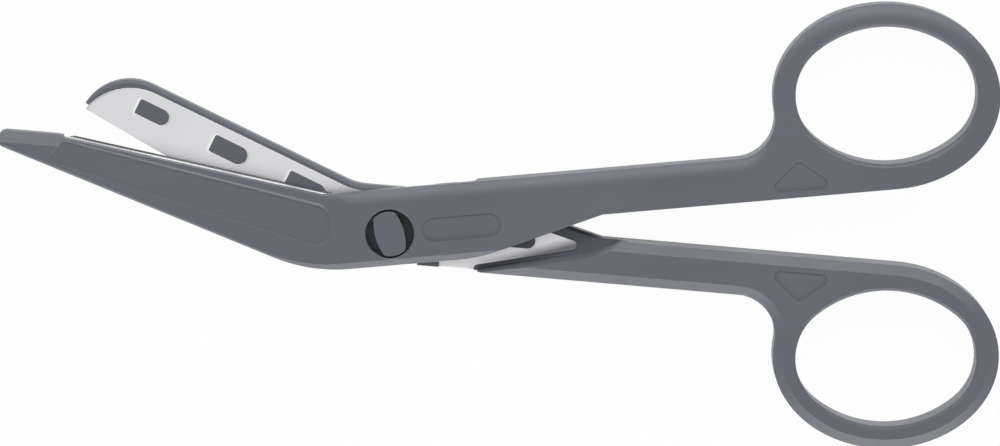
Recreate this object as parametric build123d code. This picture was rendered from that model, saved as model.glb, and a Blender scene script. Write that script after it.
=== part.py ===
from build123d import *
import os
from math import atan2, cos, degrees, hypot, pi, radians, sin

# Each half is drawn in its own frame: pivot axis on Z, ring towards +X, its outer side
# towards +Y, its mating side at Z 0 and its outer face at Z thickness. Angles of blade
# edges are measured above -X, from the pivot towards the tip.

# Lay-up of the two halves
thickness = 6.0
lean = 4.96
steel_thick = 0.8
steel_gap = 0.1
steel_proud = 0.15
insert_fit = 0.03
boss_sunk = 0.05

# Shank and crossing plate, the same on both halves
shank_width = 6.25
crossing_width = 11.05
slope_start_x = 12.3
slope_blend = 20.0
corner_x = 30.9
front_inner = 0.15
back_inner = -1.69

# Finger rings
ring_x = 73.2
ring_long = 32.8
ring_wide = 26.85
ring_end_wall = 3.275
ring_outer_wall = 3.3
ring_inner_wall = 3.7
hole_end_ratio = 0.82
neck_radius = 5.9
hole_round = 0.8
hole_bevel = 0.4

# Step where the full thickness begins, beside the pocket for the other half's plate
nose_x = 13.1
nose_width = 0.35
wall_bend_x = 29.0
wall_bend_y = 2.1
wall_end_x = 33.6
wall_draft = 0.6

# Edge forms: a wide round on the outer face that runs out towards the inner side,
# a plain bevel on the lower crossing edge and on the mating side
outer_round = 4.0
round_relief_outer = 1.4
round_relief_inner = 4.3
round_relief_blade = 2.8
round_taper = 1.1
lower_bevel_wide = 0.95
lower_bevel_deep = 0.6
lower_relief = 0.05
spine_relief = 0.7
plate_bevel = 0.45
mating_bevel_wide = 1.4
mating_bevel_deep = 0.8

# Front blade: long, with a blunt probe
front_root_x = -7.96
front_edge_angle = 17.6
front_edge_length = 39.5
front_elbow_x = -11.85
front_elbow_radius = 23.4
front_spine_angle = 27.36
probe_angle = 9.9
probe_radius = 1.25
probe_low = 2.2
probe_round = 0.9
probe_overlap = 0.6
probe_facet_wide = 1.7
probe_facet_tilt = 25.0

# Back blade: shorter, pointed
back_root_x = -6.56
back_edge_angle = -25.57
back_edge_length = 43.05
back_elbow_x = -5.52
back_elbow_radius = 8.0
back_spine_angle = -21.1
back_spine_length = 32.7
tip_rim = 0.7
tip_lead = 0.45
belly_lead = 1.0

# Steel inserts
edge_proud = 0.4
edge_flush = 0.06
ground_wide = 0.45
ground_land = 0.1
spine_rim = 0.9
slope_rim = 1.75
wall_gap = 0.5
insert_end_round = 0.75
insert_corner_round = 0.4
edge_end_lead = 1.5
edge_end_deep = 0.5
notch_long = 3.2
notch_deep = 0.7
front_notch_x = 8.85
back_notch_x = 5.9

# Windows through the inserts, filled by the moulding
window_pitch = 12.0
window_length = 4.9
window_width = 2.3
window_growth = 0.3
window_corner = 0.3
window_count = 3
front_window_first = (-38.5, 12.9)
front_window_angle = -22.2
back_window_first = (-37.9, -15.1)
back_window_angle = 21.5
rear_window_x = 16.2
rear_window_y = 1.26

# Pivot: post and bayonet head on the back half, keyhole in the front insert
post_diameter = 4.5
post_fit = 0.05
head_length = 6.5
head_width = 4.2
head_side_radius = 8.0
head_corner = 0.8
root_diameter = 7.2
head_float = 0.05
head_angle = 106.0
keyhole_fit = 0.1
counterbore_diameter = 7.05
counterbore_break = 0.15

# Shallow hollow on each blade's outer face
hollow_edge_inset = 1.6
hollow_taper = 1.5
hollow_depth = 0.05
hollow_tilt = 3.5
hollow_reach = 0.65
hollow_wall_slope = 48.0
hollow_round = 2.2
hollow_tip_ratio = 0.22
hollow_root_x = -8.4
hollow_front_spine_inset = 0.6
hollow_front_angle = 22.8
hollow_front_tip_lead = 2.1
hollow_back_spine_inset = 1.2
hollow_back_tip_gap = 5.5

# Bare shallow panels
panel_depth = 0.15
pill_x = 10.4
pill_long = 11.5
pill_wide = 3.55
triangle_x = 59.8
triangle_base = 10.9
triangle_tall = 4.5
triangle_round = 0.9
front_triangle_y = 0.9
back_triangle_y = 2.14

# Levels that follow
mating_plane = thickness / 2
steel_low = mating_plane + steel_gap / 2
steel_high = steel_low + steel_thick
plate_low = steel_low + steel_proud
margin = 1.0

# Hole of four arcs: end radius from the hole's width, side radius so that they meet tangent
hole_long = ring_long - 2 * ring_end_wall
hole_wide = ring_wide - ring_inner_wall - ring_outer_wall
hole_end_radius = hole_end_ratio * hole_wide / 2
hole_span = (hole_long**2 + hole_wide**2) / 4 - hole_long * hole_end_radius
hole_side_radius = hole_span / (hole_wide - 2 * hole_end_radius)


def along(point, angle, distance):
    """Point further towards the tip on an edge at this angle."""
    return (point[0] - distance * cos(radians(angle)), point[1] + distance * sin(radians(angle)))


def inside(point, angle, distance):
    """Point moved square to an edge at this angle, away from the half's outer side."""
    return (point[0] - distance * sin(radians(angle)), point[1] - distance * cos(radians(angle)))


def meet(first, first_angle, second, second_angle):
    """Crossing of two edges, each given by a point and its angle."""
    a, b = radians(first_angle), radians(second_angle)
    gap_x, gap_y = second[0] - first[0], second[1] - first[1]
    reach = -(gap_x * sin(b) + gap_y * cos(b)) / sin(b - a)
    return along(first, first_angle, reach)


def outer_y(inner):
    return inner + shank_width


def crossing_y(inner):
    return inner + shank_width - crossing_width


def on_ring(turn, long_radius, wide_radius):
    """Point on a ring's outline from its centre, and the outward normal there."""
    slope = hypot(wide_radius * cos(turn), long_radius * sin(turn))
    point = Vector(long_radius * cos(turn), wide_radius * sin(turn))
    normal = Vector(wide_radius * cos(turn) / slope, long_radius * sin(turn) / slope)
    return point.rotate(Axis.Z, -lean), normal.rotate(Axis.Z, -lean)


def turn_at_height(height, low, high, long_radius, wide_radius, offset_radius):
    """Ellipse parameter between two bounds where a parallel curve has this height."""
    for _ in range(50):
        middle = (low + high) / 2
        point, normal = on_ring(middle, long_radius, wide_radius)
        if (point + normal * offset_radius).Y > height:
            low = middle
        else:
            high = middle
    return (low + high) / 2


def handle_run(inner, start_x, end_x, grow=0.0, shift=0.0):
    """Inner shank edge, ring, neck and outer shank edge as one tangent run of edges."""
    low = inner - grow - shift
    high = outer_y(inner) + grow - shift
    long_radius = ring_long / 2 + grow
    wide_radius = ring_wide / 2 + grow
    neck = neck_radius - grow
    bottom = atan2(-wide_radius * cos(radians(lean)), long_radius * sin(radians(lean))) + 2 * pi
    foot, _ = on_ring(bottom, long_radius, wide_radius)
    centre = Vector(ring_x, low) - Vector(0, foot.Y)
    turn = turn_at_height(high + neck - centre.Y, pi, bottom, long_radius, wide_radius, neck)
    touch, normal = on_ring(turn, long_radius, wide_radius)
    neck_centre = centre + touch + normal * neck
    neck_start = degrees(atan2(-normal.Y, -normal.X))
    ring = EllipticalCenterArc((0, 0), long_radius, wide_radius, degrees(bottom),
                               arc_size=360 - degrees(bottom - turn))
    return [
        Line((start_x, low), (ring_x + foot.X, low)),
        Pos(centre) * Rot(0, 0, -lean) * ring,
        CenterArc(neck_centre, neck, neck_start, -90 - neck_start),
        Line((neck_centre.X, high), (end_x, high)),
    ]


def slab(face, low, high):
    """Prism of a flat outline between two levels."""
    return extrude(Pos(0, 0, low) * face, amount=high - low)


def front_corners():
    """Key points of the front blade's outline."""
    root = (front_root_x, outer_y(front_inner))
    edge = inside(root, front_edge_angle, edge_proud)
    elbow = (front_elbow_x, crossing_y(front_inner))
    probe = along(root, front_edge_angle, front_edge_length)
    return {
        "root": root,
        "start": meet(edge, front_edge_angle, root, 0),
        "edge_end": along(edge, front_edge_angle, front_edge_length),
        "probe": probe,
        "apex": meet(probe, probe_angle, elbow, front_spine_angle),
        "elbow": elbow,
    }


def front_outline():
    """Outline of the whole front moulding."""
    corner = front_corners()
    run = handle_run(front_inner, corner_x, corner["start"][0])
    blade = FilletPolyline(
        corner["start"],
        corner["edge_end"],
        corner["probe"],
        corner["apex"],
        corner["elbow"],
        (slope_start_x, crossing_y(front_inner)),
        (corner_x, front_inner),
        radius=[0, 0, probe_radius, front_elbow_radius, slope_blend],
    )
    return make_face(run + blade.edges())


def back_corners():
    """Key points of the back blade's outline."""
    root = (back_root_x, outer_y(back_inner))
    edge = inside(root, back_edge_angle, edge_proud)
    elbow = (back_elbow_x, crossing_y(back_inner))
    return {
        "root": root,
        "start": meet(edge, back_edge_angle, root, 0),
        "tip": inside(along(root, back_edge_angle, back_edge_length + tip_lead), back_edge_angle, tip_rim),
        "steel_tip": along(root, back_edge_angle, back_edge_length),
        "spine_end": along(elbow, back_spine_angle, back_spine_length),
        "elbow": elbow,
    }


def back_outline():
    """Outline of the whole back moulding."""
    corner = back_corners()
    run = handle_run(back_inner, corner_x, corner["start"][0])
    spine = FilletPolyline(
        corner["spine_end"],
        corner["elbow"],
        (slope_start_x, crossing_y(back_inner)),
        (corner_x, back_inner),
        radius=[back_elbow_radius, slope_blend],
    )
    belly = TangentArc(corner["spine_end"], corner["tip"], tangent=along((0, 0), back_spine_angle, 1))
    return make_face(run + [Line(corner["start"], corner["tip"]), belly] + spine.edges())


def pocket_face(inner, draft):
    """Room for the other half's plate at one level, its wall moved back by a draft."""
    bend = (wall_bend_x, inner + wall_bend_y)
    nose_angle = degrees(atan2(shank_width - nose_width - wall_bend_y, wall_bend_x - nose_x))
    end_angle = degrees(atan2(wall_bend_y, wall_end_x - wall_bend_x))
    nose_wall = inside(bend, nose_angle, -draft)
    end_wall = inside(bend, end_angle, -draft)
    corner = (nose_x - margin, inner - margin)
    points = [
        corner,
        meet(end_wall, end_angle, corner, 0),
        meet(nose_wall, nose_angle, end_wall, end_angle),
        meet(nose_wall, nose_angle, corner, 90),
    ]
    return make_face(Polyline(*points, close=True).edges())


def pocket(inner):
    """Room for the other half's plate, with a drafted wall."""
    levels = (-margin, plate_low + margin)
    slope = wall_draft / plate_low
    faces = [Pos(0, 0, level) * pocket_face(inner, slope * (plate_low - level)) for level in levels]
    return loft(faces, ruled=True)


def full_depth_zone(inner):
    """Shank and ring below the crossing plate, bevelled on the mating side."""
    run = handle_run(inner, nose_x, nose_x)
    nose = Line((nose_x, outer_y(inner)), (nose_x, inner))
    zone = slab(make_face(run + [nose]), 0, plate_low + margin)
    mating_face = zone.faces().sort_by(Axis.Z)[0]
    inner_edge = mating_face.edges().filter_by(Axis.X).sort_by(Axis.Y)[0]
    zone = chamfer(inner_edge, mating_bevel_wide, mating_bevel_deep, reference=mating_face)
    return zone - pocket(inner)


def crossing_plate(outline, inner):
    """Plate of the whole outline, bevelled on the mating side along its slope and spine."""
    plate = slab(outline, plate_low, thickness)
    slope = ((slope_start_x + corner_x) / 2, (crossing_y(inner) + inner) / 2, plate_low)
    return chamfer(plate.edges().sort_by_distance(slope)[0], plate_bevel)


def round_form(outline, inner, root, edge_angle):
    """Blank whose round along the outer face grows from the half's inner to its outer side."""
    box = outline.bounding_box()
    far = (box.min.X - margin, box.min.Y - margin)
    grow = (round_relief_inner + round_relief_outer) / 2
    shift = (round_relief_inner - round_relief_outer) / 2
    edge = inside(root, edge_angle, edge_proud - round_relief_blade)
    edge_line = edge_angle + round_taper
    turn = meet(edge, edge_line, (0, outer_y(inner) + grow - shift), 0)
    run = handle_run(inner, wall_end_x, turn[0], grow, shift)
    blade = FilletPolyline(
        run[-1] @ 0,
        turn,
        meet(edge, edge_line, far, 90),
        far,
        (wall_end_x, far[1]),
        run[0] @ 0,
        radius=[outer_round + margin, 0, 0, 0],
    )
    blank = slab(make_face(run[:-1] + blade.edges()), -margin, thickness)
    inner_edge = blank.edges().filter_by(Axis.X).group_by(Axis.Z)[-1].sort_by(Axis.X)[-1]
    return fillet(inner_edge, outer_round)


def bevel_form(outline, inner, elbow, elbow_radius, spine_angle):
    """Blank with the plain bevel along the lower crossing edge, narrower along the spine."""
    box = outline.bounding_box()
    near = (box.max.X + margin, box.max.Y + margin)
    far = (box.min.X - margin, box.max.Y + margin)
    low = crossing_y(inner) - lower_relief
    bend = meet(inside(elbow, spine_angle, spine_relief), spine_angle, (0, low), 0)
    points = [far, meet(bend, spine_angle, far, 90), bend, (near[0], low), near]
    border = FilletPolyline(*points, close=True, radius=[0, 0, elbow_radius, 0, 0])
    blank = slab(make_face(border.edges()), -margin, thickness)
    top = blank.faces().sort_by(Axis.Z)[-1]
    lower_edge = top.edges().filter_by(Axis.X).sort_by(Axis.Y)[0]
    return chamfer(lower_edge, lower_bevel_wide + lower_relief, lower_bevel_deep, reference=top)


def ring_hole(inner):
    """Oval for the fingers, lined up with the scissors' centre line at rest."""
    end_x = hole_long / 2 - hole_end_radius
    side_y = hole_side_radius - hole_wide / 2
    end_half = degrees(atan2(side_y, end_x))
    side_arc = 180 - 2 * end_half
    oval = make_face([
        CenterArc((end_x, 0), hole_end_radius, -end_half, 2 * end_half),
        CenterArc((0, -side_y), hole_side_radius, end_half, side_arc),
        CenterArc((-end_x, 0), hole_end_radius, 180 - end_half, 2 * end_half),
        CenterArc((0, side_y), hole_side_radius, 180 + end_half, side_arc),
    ])
    hole_y = inner + ring_inner_wall + hole_wide / 2
    return Pos(ring_x, hole_y) * Rot(0, 0, -lean) * oval


def hole_rims(body):
    """Edges around a body's finger hole, grouped by level from the mating side up."""
    radii = (hole_end_radius, hole_side_radius)
    rims = [edge for edge in body.edges().filter_by(GeomType.CIRCLE)
            if min(abs(edge.radius - radius) for radius in radii) < insert_fit]
    return ShapeList(rims).group_by(Axis.Z)


def with_ring_hole(body, inner):
    """Body with its finger hole, rounded on the outer face and bevelled on the mating side."""
    body = body - slab(ring_hole(inner), -margin, thickness + margin)
    body = fillet(hole_rims(body)[-1], hole_round)
    return chamfer(hole_rims(body)[0], hole_bevel)


def window_places(first, line_angle, inner):
    """Place, length and width of each window: a row along the blade and one behind the pivot."""
    row = Pos(*first) * Rot(0, 0, line_angle)
    places = []
    for index in range(window_count):
        length = window_length + 2 * index * window_growth
        width = window_width + index * window_growth
        places.append((row * Pos(index * window_pitch, 0), length, width))
    places.append((Pos(rear_window_x, inner + rear_window_y), window_length, window_width))
    return places


def window_faces(places, fit):
    """Windows with a flat end towards the tip and a round end towards the ring."""
    faces = []
    for place, length, width in places:
        flat = length - width / 2
        bar = Pos(flat / 2, 0) * Rectangle(flat + 2 * fit, width + 2 * fit)
        bar = fillet(bar.vertices().sort_by(Axis.X)[:2], window_corner)
        faces.append(place * (bar + Pos(flat, 0) * Circle(width / 2 + fit)))
    return faces


def insert_rear(inner):
    """Corner points of an insert from its outer edge round its rear end to the crossing edge."""
    flush = outer_y(inner) - edge_flush
    nose = (nose_x, outer_y(inner) - nose_width)
    bend = (wall_bend_x, inner + wall_bend_y)
    wall_angle = degrees(atan2(nose[1] - bend[1], bend[0] - nose[0]))
    wall = inside(nose, wall_angle, wall_gap)
    slope_angle = degrees(atan2(crossing_y(inner) - inner, corner_x - slope_start_x))
    slope = inside((corner_x, inner), slope_angle, -slope_rim)
    stop_x = nose_x - wall_gap
    return [
        (stop_x, flush),
        meet(wall, wall_angle, (stop_x, 0), 90),
        meet(wall, wall_angle, slope, slope_angle),
        meet(slope, slope_angle, (0, crossing_y(inner) + spine_rim), 0),
    ]


def front_insert_face():
    """Outline of the front insert."""
    corner = front_corners()
    flush = (0, outer_y(front_inner) - edge_flush)
    spine = inside(corner["elbow"], front_spine_angle, -spine_rim)
    rear = insert_rear(front_inner)
    points = [
        meet(corner["root"], front_edge_angle, flush, 0),
        *rear,
        meet(spine, front_spine_angle, rear[-1], 0),
        meet(spine, front_spine_angle, corner["probe"], 90 + front_edge_angle),
        inside(corner["probe"], front_edge_angle, edge_end_deep),
        along(corner["probe"], front_edge_angle, -edge_end_lead),
    ]
    soft = insert_corner_round
    radii = [0, 0, soft, insert_end_round, slope_blend, front_elbow_radius, soft, 0, 0]
    return make_face(FilletPolyline(*points, close=True, radius=radii).edges())


def back_insert_face():
    """Outline of the back insert."""
    corner = back_corners()
    flush = (0, outer_y(back_inner) - edge_flush)
    spine = inside(corner["elbow"], back_spine_angle, -spine_rim)
    rear = insert_rear(back_inner)
    spine_end = along(spine, back_spine_angle, back_spine_length - belly_lead)
    points = [
        corner["steel_tip"],
        meet(corner["root"], back_edge_angle, flush, 0),
        *rear,
        meet(spine, back_spine_angle, rear[-1], 0),
        spine_end,
    ]
    soft = insert_corner_round
    radii = [0, 0, soft, insert_end_round, slope_blend, back_elbow_radius]
    edges = FilletPolyline(*points, radius=radii)
    belly = TangentArc(spine_end, corner["steel_tip"], tangent=along((0, 0), back_spine_angle, 1))
    return make_face(edges.edges() + [belly])


def notch_face(inner, notch_x, fit):
    """Notch in an insert's outer edge, which the moulding fills."""
    reach = notch_deep + edge_flush - fit
    middle = outer_y(inner) - edge_flush - notch_deep + fit + reach / 2
    return Pos(notch_x, middle) * Rectangle(notch_long - 2 * fit, reach)


def ground(blade, root, edge_angle, edge_length):
    """Insert with its cutting edge ground on the outer side."""
    high = [edge for edge in blade.edges().filter_by(GeomType.LINE)
            if abs(edge.center().Z - steel_high) < insert_fit and edge.length > edge_length / 2]
    middle = Vector(*along(root, edge_angle, edge_length / 2))
    cutting = ShapeList(high).sort_by_distance((middle.X, middle.Y, steel_high))[0]
    face = blade.faces().filter_by(Axis.Z).sort_by(Axis.Z)[-1]
    return chamfer(cutting, ground_wide, steel_thick - ground_land, reference=face)


def insert(face, places, inner, notch_x):
    """Stamped insert: outline, windows and edge notch."""
    blade = slab(face, steel_low, steel_high)
    for window in window_faces(places, 0):
        blade -= slab(window, steel_low - margin, steel_high + margin)
    return blade - slab(notch_face(inner, notch_x, 0), steel_low - margin, steel_high + margin)


def seat(face, places, inner, notch_x):
    """Room for an insert in its moulding, open at the outer edge, less what fills its windows."""
    low = plate_low - margin
    room = slab(offset(face, insert_fit), low, steel_high)
    edge_low = outer_y(inner) - 2 * edge_flush
    strip_end = nose_x - wall_gap + insert_fit
    corner = min(vertex.X for vertex in face.vertices() if vertex.Y > edge_low)
    strip = Pos((corner + strip_end) / 2, edge_low + margin / 2) * Rectangle(strip_end - corner, margin)
    room += slab(strip, low, steel_high)
    for window in window_faces(places, -insert_fit):
        room -= slab(window, low, steel_high)
    return room - slab(notch_face(inner, notch_x, insert_fit), low, steel_high)


def window_bosses(places):
    """Moulding that fills the windows almost flush with the steel."""
    low = steel_low + boss_sunk
    return [slab(face, low, plate_low + margin) for face in window_faces(places, -insert_fit)]


def tilted(point, level, angle, tilt):
    """Plane along an edge at this angle, falling towards the half's outer side."""
    outward = inside((0, 0), angle, -sin(radians(tilt)))
    return Plane((*point, level), z_dir=(*outward, cos(radians(tilt))))


def hollow(edge_tip, edge_root, spine_root, spine_tip):
    """Shallow hollow in a blade's outer face, its floor sloping down to the cutting edge."""
    points = [edge_tip, edge_root, spine_root, spine_tip]
    tip_round = hollow_tip_ratio * hypot(edge_tip[0] - spine_tip[0], edge_tip[1] - spine_tip[1])
    radii = [tip_round, hollow_round, hollow_round, tip_round]
    face = make_face(FilletPolyline(*points, close=True, radius=radii).edges())
    mouth = Pos(0, 0, thickness) * face
    scoop = extrude(mouth, amount=hollow_reach, dir=(0, 0, -1), taper=hollow_wall_slope)
    line_angle = degrees(atan2(spine_tip[1] - spine_root[1], spine_root[0] - spine_tip[0]))
    floor = tilted(spine_tip, thickness - hollow_depth, line_angle, hollow_tilt)
    return split(scoop, bisect_by=floor, keep=Keep.TOP)


def triangle(inner, base_y, level):
    """Bare triangular panel beside the ring, pointing to the hole."""
    low = inner + base_y
    half = triangle_base / 2
    points = [(triangle_x - half, low), (triangle_x + half, low), (triangle_x, low + triangle_tall)]
    face = make_face(FilletPolyline(*points, close=True, radius=triangle_round).edges())
    return slab(face, level, level + panel_depth)


def half_body(outline, inner, corner, edge_angle, elbow_radius, spine_angle):
    """Crossing plate, shank and ring of one half, with the outer face's edges formed."""
    body = crossing_plate(outline, inner) + full_depth_zone(inner)
    body &= round_form(outline, inner, corner["root"], edge_angle)
    body &= bevel_form(outline, inner, corner["elbow"], elbow_radius, spine_angle)
    return with_ring_hole(body, inner)


def probe_zone():
    """Area beyond the front insert's end, where the blade is moulding only."""
    start = along(front_corners()["probe"], front_edge_angle, probe_overlap)
    middle = along(start, front_edge_angle, front_edge_length / 2)
    return Pos(*middle) * Rot(0, 0, -front_edge_angle) * Rectangle(front_edge_length, front_edge_length)


def front_hollow_points():
    """Corners of the front blade's hollow: edge tip, edge root, spine root and spine tip."""
    corner = front_corners()
    edge = inside(corner["root"], front_edge_angle, hollow_edge_inset)
    edge_angle = front_edge_angle + hollow_taper
    spine = along(corner["elbow"], front_spine_angle, front_edge_length + hollow_front_tip_lead)
    spine_tip = inside(spine, front_spine_angle, -hollow_front_spine_inset)
    root = (hollow_root_x, 0)
    return [
        along(edge, edge_angle, front_edge_length),
        meet(edge, edge_angle, root, 90),
        meet(spine_tip, hollow_front_angle, root, 90),
        spine_tip,
    ]


def probe_facet():
    """Cut that slopes the probe's outer face on its edge side, up to the hollow's end."""
    edge_tip, _, _, spine_tip = front_hollow_points()
    end_angle = degrees(atan2(edge_tip[1] - spine_tip[1], spine_tip[0] - edge_tip[0]))
    middle = inside(edge_tip, end_angle, front_edge_length / 2)
    zone = Pos(*middle) * Rot(0, 0, -end_angle) * Rectangle(front_edge_length, front_edge_length)
    ridge = inside(front_corners()["probe"], probe_angle, probe_facet_wide)
    plane = tilted(ridge, thickness, probe_angle, probe_facet_tilt)
    return split(slab(zone, plate_low, thickness + margin), bisect_by=plane, keep=Keep.TOP)


def make_front_half():
    outline = front_outline()
    body = half_body(outline, front_inner, front_corners(), front_edge_angle, front_elbow_radius,
                     front_spine_angle)
    probe = slab(outline & probe_zone(), probe_low, plate_low + margin)
    probe = fillet(probe.edges().group_by(Axis.Z)[0], probe_round)
    places = window_places(front_window_first, front_window_angle, front_inner)
    body -= seat(front_insert_face(), places, front_inner, front_notch_x)
    body = body + window_bosses(places) + probe
    body -= hollow(*front_hollow_points())
    body -= probe_facet()
    bore = Cylinder(counterbore_diameter / 2, 2 * thickness)
    body -= bore
    rim = [edge for edge in body.edges().filter_by(GeomType.CIRCLE)
           if abs(edge.radius - counterbore_diameter / 2) < insert_fit]
    body = chamfer(ShapeList(rim).sort_by(Axis.Z)[-1], counterbore_break)
    pill = Pos(pill_x, 0) * SlotOverall(pill_long, pill_wide)
    body -= slab(pill, thickness - panel_depth, thickness)
    return body - triangle(front_inner, front_triangle_y, thickness - panel_depth)


def make_front_blade():
    places = window_places(front_window_first, front_window_angle, front_inner)
    blade = insert(front_insert_face(), places, front_inner, front_notch_x)
    blade = ground(blade, front_corners()["root"], front_edge_angle, front_edge_length)
    slot = Rectangle(head_length + 2 * keyhole_fit, head_width + 2 * keyhole_fit)
    slot &= Circle(head_length / 2 + keyhole_fit)
    keyhole = Rot(0, 0, head_angle - lean - 90) * slot + Circle(post_diameter / 2 + post_fit)
    return blade - slab(keyhole, steel_low - margin, steel_high + margin)


def make_back_half():
    corner = back_corners()
    outline = back_outline()
    body = half_body(outline, back_inner, corner, back_edge_angle, back_elbow_radius, back_spine_angle)
    places = window_places(back_window_first, back_window_angle, back_inner)
    body -= seat(back_insert_face(), places, back_inner, back_notch_x)
    body = body + window_bosses(places)
    edge = inside(corner["root"], back_edge_angle, hollow_edge_inset)
    spine = inside(corner["elbow"], back_spine_angle, -hollow_back_spine_inset)
    root = (hollow_root_x, 0)
    body -= hollow(
        along(edge, back_edge_angle, back_edge_length - hollow_back_tip_gap),
        meet(edge, back_edge_angle, root, 90),
        meet(spine, back_spine_angle, root, 90),
        along(spine, back_spine_angle, back_spine_length),
    )
    head_low = thickness - steel_high - head_float
    head = Circle(head_length / 2)
    for side in (-1, 1):
        head &= Pos(0, side * (head_side_radius - head_width / 2)) * Circle(head_side_radius)
    head = fillet(head.vertices(), head_corner)
    body += slab(Rot(0, 0, -head_angle - lean) * head, 0, head_low)
    body += slab(Circle(post_diameter / 2), head_low, thickness - mating_plane / 2)
    body += slab(Circle(root_diameter / 2), steel_low + boss_sunk, plate_low + margin)
    return body - triangle(back_inner, back_triangle_y, 0)


def make_back_blade():
    places = window_places(back_window_first, back_window_angle, back_inner)
    blade = insert(back_insert_face(), places, back_inner, back_notch_x)
    blade = ground(blade, back_corners()["root"], back_edge_angle, back_edge_length)
    return blade - slab(Circle(root_diameter / 2 + insert_fit), steel_low - margin, steel_high + margin)


# The front half lies on top; the back half is the same way up turned over, at rest slightly open
front_place = Rot(0, 0, lean)
back_place = Rot(0, 0, -lean) * Pos(0, 0, thickness) * Rot(180, 0, 0)

os.makedirs("parts", exist_ok=True)
export_step(front_place * make_front_half(), "parts/front_half.step")
export_step(front_place * make_front_blade(), "parts/front_blade.step")
export_step(back_place * make_back_half(), "parts/back_half.step")
export_step(back_place * make_back_blade(), "parts/back_blade.step")
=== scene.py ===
from math import cos, pi, radians, sin

import bpy
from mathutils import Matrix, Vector

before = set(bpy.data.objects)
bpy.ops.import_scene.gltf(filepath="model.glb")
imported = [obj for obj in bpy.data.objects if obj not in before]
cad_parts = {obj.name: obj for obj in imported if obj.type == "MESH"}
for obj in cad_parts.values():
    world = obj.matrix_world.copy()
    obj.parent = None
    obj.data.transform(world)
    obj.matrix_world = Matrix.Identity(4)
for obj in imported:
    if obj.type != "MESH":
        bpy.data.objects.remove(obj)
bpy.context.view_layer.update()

scene = bpy.context.scene

# Back half: the lower moulding, with the pointed blade, the pivot post and one finger ring.
# Grey plastic, injection moulded in one shot around its steel, with a fine matt grain on its
# faces, painted shade in its corners, and edges painted a little paler, partly rubbed wear and
# partly painted highlight.
MOULDING_GREY = (0.152, 0.162, 0.190)
MOULDING_PALE = (0.290, 0.305, 0.350, 1)
MOULDING_ROUGH = (0.38, 0.48)
MOULDING_BREAK = 0.00007
NONE_TO_ALL = (0.0, 1.0)
ALL_TO_NONE = (1.0, 0.0)
# Each pattern is its features per metre, detail and roughness.
STREAKS = (420, 4, 0.55)
CLOUDS = (55, 3, 0.5)
GRAIN = (5200, 2, 0.6)
NOISE_SPAN = (0.3, 0.7)
FLOW_STRETCH = (0.25, 1.0, 1.0)
CLOUD_SHADE = (0.95, 1.05)
GRAIN_STRENGTH = 0.08
GRAIN_DEEP = 0.00002
SURFACE_SAMPLES = 6
CORNER_SHADE_REACH = 0.0007
CORNER_SHADE_SPAN = (0.30, 0.90)
CORNER_SHADE = (0.90, 1.0)
EDGE_WEAR_AND_HIGHLIGHT_RADIUS = 0.0002
EDGE_WEAR_AND_HIGHLIGHT_SPAN = (0.92, 0.74)
WEAR_AND_HIGHLIGHT_SPAN = (0.35, 0.65)
WEAR_AND_HIGHLIGHT = (0.35, 0.8)
WELD_REACH = 0.000002
FLAT_WITHIN = radians(0.4)
SHARP_FROM = radians(24)
BREAK_STEPS = 2
NORMAL_WEIGHT = 80


def link(tree, source, target):
    """Join an output of one node to an input of another."""
    tree.links.new(source, target)


def graded(tree, source, span, onto):
    """Scalar stretched from one range onto another."""
    node = tree.nodes.new("ShaderNodeMapRange")
    node.inputs["From Min"].default_value = span[0]
    node.inputs["From Max"].default_value = span[1]
    node.inputs["To Min"].default_value = onto[0]
    node.inputs["To Max"].default_value = onto[1]
    link(tree, source, node.inputs["Value"])
    return node.outputs["Result"]


def noise(tree, where, pattern):
    """Cloudy value over the surface."""
    node = tree.nodes.new("ShaderNodeTexNoise")
    node.inputs["Scale"].default_value = pattern[0]
    node.inputs["Detail"].default_value = pattern[1]
    node.inputs["Roughness"].default_value = pattern[2]
    link(tree, where, node.inputs["Vector"])
    return node.outputs["Fac"]


def combined(tree, operation, first, second):
    """Two scalars joined by a sum, a product or the like."""
    node = tree.nodes.new("ShaderNodeMath")
    node.operation = operation
    link(tree, first, node.inputs[0])
    link(tree, second, node.inputs[1])
    return node.outputs["Value"]


def blended(tree, amount, first, second):
    """Colour between two by a scalar; the second is a plain colour."""
    node = tree.nodes.new("ShaderNodeMix")
    node.data_type = "RGBA"
    link(tree, amount, node.inputs[0])
    link(tree, first, node.inputs[6])
    node.inputs[7].default_value = second
    return node.outputs[2]


def tinted(tree, colour, shade):
    """Plain colour made lighter and darker by a scalar."""
    node = tree.nodes.new("ShaderNodeVectorMath")
    node.operation = "SCALE"
    node.inputs[0].default_value = colour
    link(tree, shade, node.inputs["Scale"])
    return node.outputs["Vector"]


def on_piece(tree):
    """Place on a piece, in metres."""
    return tree.nodes.new("ShaderNodeTexCoord").outputs["Object"]


def stretched(tree, where, factors):
    """Place with each of its axes multiplied by a factor."""
    node = tree.nodes.new("ShaderNodeVectorMath")
    node.operation = "MULTIPLY"
    node.inputs[1].default_value = factors
    link(tree, where, node.inputs[0])
    return node.outputs["Vector"]


def plain_normal(tree):
    """Surface direction as it is."""
    return tree.nodes.new("ShaderNodeNewGeometry").outputs["Normal"]


def softened_normal(tree, radius):
    """Surface direction as if the sharp edges were rounded to this radius."""
    node = tree.nodes.new("ShaderNodeBevel")
    node.samples = SURFACE_SAMPLES
    node.inputs["Radius"].default_value = radius
    return node.outputs["Normal"]


def facing(tree, normal, other):
    """How far a surface direction agrees with another one."""
    node = tree.nodes.new("ShaderNodeVectorMath")
    node.operation = "DOT_PRODUCT"
    link(tree, normal, node.inputs[0])
    if isinstance(other, tuple):
        node.inputs[1].default_value = other
    else:
        link(tree, other, node.inputs[1])
    return node.outputs["Value"]


def openness(tree, reach):
    """One in the open, lower in corners and slots within this reach."""
    node = tree.nodes.new("ShaderNodeAmbientOcclusion")
    node.samples = SURFACE_SAMPLES
    node.inputs["Distance"].default_value = reach
    return node.outputs["AO"]


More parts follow.
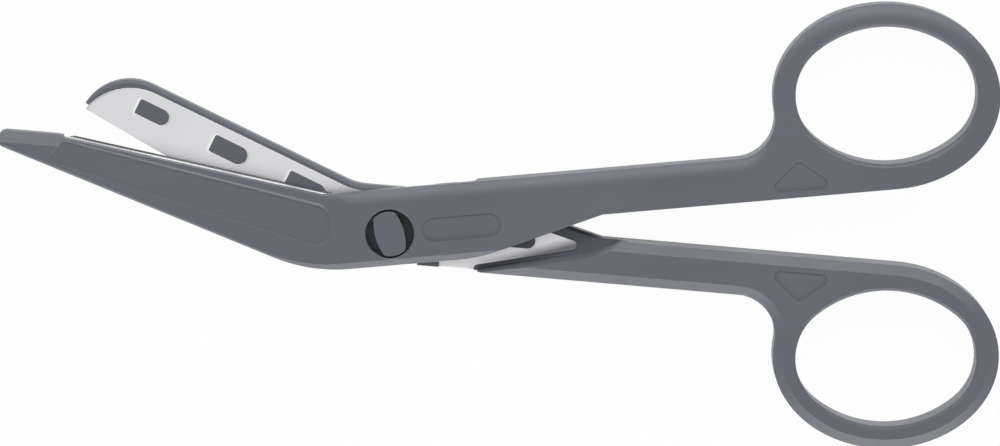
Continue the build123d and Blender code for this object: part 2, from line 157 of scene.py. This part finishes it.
def bumped(tree, height, strength, distance):
    """Surface direction disturbed by a height."""
    node = tree.nodes.new("ShaderNodeBump")
    node.inputs["Strength"].default_value = strength
    node.inputs["Distance"].default_value = distance
    link(tree, height, node.inputs["Height"])
    return node.outputs["Normal"]


def moulded_plastic():
    """Matt grey plastic with faint flow streaks and a fine grain, painted shade in its corners, and
    edges painted paler, partly rubbed wear and partly painted highlight.
    """
    finish = bpy.data.materials.new("moulded_plastic")
    finish.use_nodes = True
    tree = finish.node_tree
    shader = tree.nodes["Principled BSDF"]
    place = on_piece(tree)
    streak = noise(tree, stretched(tree, place, FLOW_STRETCH), STREAKS)
    cloud = graded(tree, noise(tree, place, CLOUDS), NOISE_SPAN, CLOUD_SHADE)
    # Painted shade: the grey is darkened in corners and slots, where less light reaches.
    painted_corner_shade = graded(tree, openness(tree, CORNER_SHADE_REACH), CORNER_SHADE_SPAN, CORNER_SHADE)
    body_tint = tinted(tree, MOULDING_GREY, combined(tree, "MULTIPLY", cloud, painted_corner_shade))
    # Rubbed wear and painted highlight: sharp edges are painted paler, patchily along the streaks.
    turned = facing(tree, softened_normal(tree, EDGE_WEAR_AND_HIGHLIGHT_RADIUS), plain_normal(tree))
    edge = graded(tree, turned, EDGE_WEAR_AND_HIGHLIGHT_SPAN, NONE_TO_ALL)
    worn_and_highlit = combined(tree, "MULTIPLY", edge, graded(tree, streak, WEAR_AND_HIGHLIGHT_SPAN, WEAR_AND_HIGHLIGHT))
    link(tree, blended(tree, worn_and_highlit, body_tint, MOULDING_PALE), shader.inputs["Base Color"])
    link(tree, graded(tree, streak, NOISE_SPAN, MOULDING_ROUGH), shader.inputs["Roughness"])
    grain = noise(tree, place, GRAIN)
    link(tree, bumped(tree, grain, GRAIN_STRENGTH, GRAIN_DEEP), shader.inputs["Normal"])
    return finish


def dressed(node, finish, edge_break):
    """A solid of the frame with its finish, smooth rounds and finely broken edges."""
    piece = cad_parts[node]
    piece.data.materials.clear()
    piece.data.materials.append(finish)
    piece.data.polygons.foreach_set("use_smooth", [True] * len(piece.data.polygons))
    weld = piece.modifiers.new("weld", "WELD")
    weld.merge_threshold = WELD_REACH
    flats = piece.modifiers.new("flats", "DECIMATE")
    flats.decimate_type = "DISSOLVE"
    flats.angle_limit = FLAT_WITHIN
    breaks = piece.modifiers.new("breaks", "BEVEL")
    breaks.width = edge_break
    breaks.segments = BREAK_STEPS
    breaks.limit_method = "ANGLE"
    breaks.angle_limit = SHARP_FROM
    normals = piece.modifiers.new("normals", "WEIGHTED_NORMAL")
    normals.weight = NORMAL_WEIGHT


plastic = moulded_plastic()
dressed("back_half", plastic, MOULDING_BREAK)

# Back blade: the insert under the back half's edge, stamped from stainless strip, satin
# ground on its flat and sharpened from the outer side. The moulding locks through its windows,
# whose rims get a painted highlight on one side and painted shade on the other, and painted
# shade darkens the steel along the wall at its rear.
STEEL = (0.68, 0.68, 0.695)
STEEL_RIM_HIGHLIGHT = (0.93, 0.93, 0.94, 1)
STEEL_SHADE = (0.30, 0.30, 0.31, 1)
STEEL_WALL_SHADE = (0.16, 0.16, 0.17, 1)
STEEL_ROUGH = (0.28, 0.38)
STEEL_BREAK = 0.00004
SCRATCHES = (9000, 3, 0.6)
MOTTLES = (90, 3, 0.5)
SCRATCH_STRETCH = (1.0, 0.03, 1.0)
MOTTLE_SHADE = (0.97, 1.03)
SCRATCH_STRENGTH = 0.06
SCRATCH_DEEP = 0.000008
SHADOW_REACH = 0.0025
SHADOW_SPAN = (0.40, 0.95)
SHADOW_SHADE = (0.72, 1.0)
RIM_RADIUS = 0.0008
RIM_SIDE = (0.90, -0.44, 0.0)
BRIGHT_SPAN = (0.08, 0.30)
DIM_SPAN = (-0.20, -0.45)
DIM = (0.0, 0.7)
WALL_TURN = radians(14.5)
WALL_LINE = -0.0086
WALL_SHADE_START = 0.0112
WALL_SHADE_BLUR = 0.0014
BACK_BLADE_TURN = radians(-30.5)


def along_line(tree, turn):
    """Place on a piece with X along a line that is turned by an angle."""
    lay = tree.nodes.new("ShaderNodeMapping")
    lay.inputs["Rotation"].default_value = (0, 0, -turn)
    link(tree, on_piece(tree), lay.inputs["Vector"])
    return lay.outputs["Vector"]


def measured(tree, where, axis):
    """One coordinate of a place."""
    node = tree.nodes.new("ShaderNodeSeparateXYZ")
    link(tree, where, node.inputs["Vector"])
    return node.outputs[axis]


def satin_steel(name, turn):
    """Stainless with faint grinding lines square to the blade, painted shadow near walls, and a
    painted highlight on the rims turned to one side with painted shade on those turned away.
    """
    finish = bpy.data.materials.new(name)
    finish.use_nodes = True
    tree = finish.node_tree
    shader = tree.nodes["Principled BSDF"]
    shader.inputs["Metallic"].default_value = 1.0
    place = along_line(tree, turn)
    scratches = noise(tree, stretched(tree, place, SCRATCH_STRETCH), SCRATCHES)
    mottle = graded(tree, noise(tree, place, MOTTLES), NOISE_SPAN, MOTTLE_SHADE)
    shadow = graded(tree, openness(tree, SHADOW_REACH), SHADOW_SPAN, SHADOW_SHADE)
    flat_tint = tinted(tree, STEEL, combined(tree, "MULTIPLY", mottle, shadow))
    # Painted highlight and shade: rims turned towards one side are painted paler, rims turned away are
    # painted darker.
    softened = facing(tree, softened_normal(tree, RIM_RADIUS), RIM_SIDE)
    rolled = combined(tree, "SUBTRACT", softened, facing(tree, plain_normal(tree), RIM_SIDE))
    highlit_rim_tint = blended(tree, graded(tree, rolled, BRIGHT_SPAN, NONE_TO_ALL), flat_tint, STEEL_RIM_HIGHLIGHT)
    highlit_and_shaded_tint = blended(tree, graded(tree, rolled, DIM_SPAN, DIM), highlit_rim_tint, STEEL_SHADE)
    link(tree, highlit_and_shaded_tint, shader.inputs["Base Color"])
    link(tree, graded(tree, scratches, NOISE_SPAN, STEEL_ROUGH), shader.inputs["Roughness"])
    link(tree, bumped(tree, scratches, SCRATCH_STRENGTH, SCRATCH_DEEP), shader.inputs["Normal"])
    return finish


def coated(tree, cover, colour):
    """Lay a colour over a finish where its cover is one."""
    base = tree.nodes["Principled BSDF"].inputs["Base Color"]
    link(tree, blended(tree, cover, base.links[0].from_socket, colour), base)


back_steel = satin_steel("back_steel", BACK_BLADE_TURN)
tree = back_steel.node_tree
# Painted shade: behind the pivot the steel is darkened towards the moulding's wall, where the wall and
# the front half shade it.
rearward = measured(tree, on_piece(tree), "X")
behind_pivot = graded(tree, rearward, (WALL_SHADE_START, WALL_SHADE_START + WALL_SHADE_BLUR), NONE_TO_ALL)
from_wall = measured(tree, along_line(tree, WALL_TURN), "Y")
near_wall = graded(tree, from_wall, (WALL_LINE, WALL_LINE + WALL_SHADE_BLUR), ALL_TO_NONE)
coated(tree, combined(tree, "MULTIPLY", behind_pivot, near_wall), STEEL_WALL_SHADE)
dressed("back_blade", back_steel, STEEL_BREAK)

# Front half: the upper moulding, with the blunt probe that slides under a dressing, the
# counterbore over the pivot head and the other finger ring. It is moulded of the same plastic,
# dropped over the head of the post and locked by a turn.
dressed("front_half", plastic, MOULDING_BREAK)

# Front blade: the longer stamped insert, held the same way, with the keyhole that lets the
# head of the post through. Its ground edge ends in a row of fine teeth on a dark strip that is a
# painted reflection, and painted shade covers the steel inside the counterbore.
FRONT_BLADE_TURN = radians(-12.64)
EDGE_LINE = 0.003694
EDGE_HEEL = -0.0093
TOOTH_DEEP = 0.00022
GROUND_WIDE = 0.0006
LINE_BLUR = 0.00003
HEEL_BLUR = 0.0001
TOOTH_PITCH = 0.00043
TOOTH_BITE = (0.8, 1.0)
WAVE_RATE = 20
COUNTERBORE_SHADE_RADIUS = 0.0036
COUNTERBORE_SHADE_BLUR = 0.0001
LEVEL = (1.0, 1.0, 0.0)
TOOTH_DARK_REFLECTION = (0.07, 0.07, 0.075, 1)
GROUND_STEEL = (0.72, 0.72, 0.73, 1)
GROUND_ROUGH = (0.34, 0.50)
COUNTERBORE_SHADE = (0.05, 0.05, 0.055, 1)


def edge_strip(tree, place, wide):
    """One on a strip of this width along the front cutting edge, as far as its heel."""
    line = EDGE_LINE - wide
    on_edge = graded(tree, measured(tree, place, "X"), (EDGE_HEEL - HEEL_BLUR, EDGE_HEEL), ALL_TO_NONE)
    in_strip = graded(tree, measured(tree, place, "Y"), (line - LINE_BLUR, line), NONE_TO_ALL)
    return combined(tree, "MULTIPLY", on_edge, in_strip)


front_steel = satin_steel("front_steel", FRONT_BLADE_TURN)
tree = front_steel.node_tree
place = along_line(tree, FRONT_BLADE_TURN)
ground = edge_strip(tree, place, GROUND_WIDE)
coated(tree, ground, GROUND_STEEL)
# Fine teeth along the edge, laid on a dark strip that is a painted reflection of a steep outer facet.
teeth = tree.nodes.new("ShaderNodeTexWave")
teeth.inputs["Scale"].default_value = 2 * pi / (WAVE_RATE * TOOTH_PITCH)
link(tree, place, teeth.inputs["Vector"])
bite = graded(tree, teeth.outputs["Fac"], NONE_TO_ALL, TOOTH_BITE)
coated(tree, combined(tree, "MULTIPLY", edge_strip(tree, place, TOOTH_DEEP), bite), TOOTH_DARK_REFLECTION)
# Painted shade: the steel inside the counterbore, within its radius of the pivot, is coloured dark.
from_pivot = tree.nodes.new("ShaderNodeVectorMath")
from_pivot.operation = "LENGTH"
link(tree, stretched(tree, place, LEVEL), from_pivot.inputs[0])
painted_counterbore_shade = graded(tree, from_pivot.outputs["Value"], (COUNTERBORE_SHADE_RADIUS, COUNTERBORE_SHADE_RADIUS - COUNTERBORE_SHADE_BLUR), NONE_TO_ALL)
coated(tree, painted_counterbore_shade, COUNTERBORE_SHADE)
ground_rough = graded(tree, ground, NONE_TO_ALL, GROUND_ROUGH)
link(tree, ground_rough, tree.nodes["Principled BSDF"].inputs["Roughness"])
dressed("front_blade", front_steel, STEEL_BREAK)

# Table: a plain white sheet that the scissors lie on. It is seen as white, and keeps a faint
# shadow under the rings and blades.
TABLE_CORNERS = [(-2, -2, 0), (2, -2, 0), (2, 2, 0), (-2, 2, 0)]
TABLE_DROP = 0.0003
PAPER = (0.94, 0.94, 0.94, 1)
PAPER_ROUGH = 0.9
PAPER_GLOW = (0.0, 0.97)

table_mesh = bpy.data.meshes.new("table")
table_mesh.from_pydata(TABLE_CORNERS, [], [(0, 1, 2, 3)])
table = bpy.data.objects.new("table", table_mesh)
table.location.z = -TABLE_DROP
scene.collection.objects.link(table)


def seen_directly(tree):
    """One for what the camera, a reflection or a clear piece shows."""
    path = tree.nodes.new("ShaderNodeLightPath")
    seen = combined(tree, "MAXIMUM", path.outputs["Is Camera Ray"], path.outputs["Is Glossy Ray"])
    return combined(tree, "MAXIMUM", seen, path.outputs["Is Transmission Ray"])


white = bpy.data.materials.new("white_table")
white.use_nodes = True
tree = white.node_tree
paper = tree.nodes["Principled BSDF"]
paper.inputs["Base Color"].default_value = PAPER
paper.inputs["Roughness"].default_value = PAPER_ROUGH
paper.inputs["Specular IOR Level"].default_value = 0.0
glow = tree.nodes.new("ShaderNodeEmission")
glow.inputs["Strength"].default_value = 1.0
mixed = tree.nodes.new("ShaderNodeMixShader")
link(tree, graded(tree, seen_directly(tree), NONE_TO_ALL, PAPER_GLOW), mixed.inputs["Fac"])
link(tree, paper.outputs["BSDF"], mixed.inputs[1])
link(tree, glow.outputs["Emission"], mixed.inputs[2])
link(tree, mixed.outputs["Shader"], tree.nodes["Material Output"].inputs["Surface"])
table_mesh.materials.append(white)

# Light tent: white cloth all round the table, giving less light from overhead than from low
# down. One lamp panel stands high on the far side and one low on the near side.
TENT_WHITE = (1, 1, 1, 1)
TENT_FILL = (0.40, 0.12)
PANEL_WIDE = 1.2
PANEL_AIM = (0.015, 0, 0)

world = bpy.data.worlds.new("tent")
world.use_nodes = True
scene.world = world
tree = world.node_tree
tent = tree.nodes["Background"]
tent.inputs["Color"].default_value = TENT_WHITE
height = measured(tree, tree.nodes.new("ShaderNodeTexCoord").outputs["Generated"], "Z")
level = tree.nodes.new("ShaderNodeMix")
link(tree, seen_directly(tree), level.inputs["Factor"])
link(tree, graded(tree, height, NONE_TO_ALL, TENT_FILL), level.inputs["A"])
level.inputs["B"].default_value = 1.0
link(tree, level.outputs["Result"], tent.inputs["Strength"])


def softbox(name, place, tall, radiance):
    """Lamp panel facing the scissors."""
    lamp = bpy.data.lights.new(name, "AREA")
    lamp.shape = "RECTANGLE"
    lamp.size = PANEL_WIDE
    lamp.size_y = tall
    lamp.energy = radiance * pi * PANEL_WIDE * tall
    panel = bpy.data.objects.new(name, lamp)
    panel.location = place
    panel.rotation_euler = (Vector(PANEL_AIM) - Vector(place)).to_track_quat("-Z", "Y").to_euler()
    scene.collection.objects.link(panel)


softbox("far_panel", (0.02, 0.47, 0.37), 0.25, 3.2)
softbox("near_panel", (0.02, -0.60, 0.11), 0.18, 5.8)

# Camera: a long lens nearly straight above the table, leaning a little to the far side. Its
# tilt, distance and aim were found by laying the model over the photograph.
CAMERA_TILT = radians(6.765)
CAMERA_REACH = 0.86672
CAMERA_AIM = (0.01596, 0.001254, 0.003)
SENSOR_WIDE = 36.0
FOCAL_LENGTH = 215.2
NEAR_LIMIT = 0.01

lens = bpy.data.cameras.new("camera")
lens.sensor_width = SENSOR_WIDE
lens.lens = FOCAL_LENGTH
lens.clip_start = NEAR_LIMIT
camera = bpy.data.objects.new("camera", lens)
camera.location = (
    CAMERA_AIM[0],
    CAMERA_AIM[1] + CAMERA_REACH * sin(CAMERA_TILT),
    CAMERA_AIM[2] + CAMERA_REACH * cos(CAMERA_TILT),
)
camera.rotation_euler = (-CAMERA_TILT, 0, 0)
scene.collection.objects.link(camera)
scene.camera = camera
scene.view_settings.view_transform = "Standard"
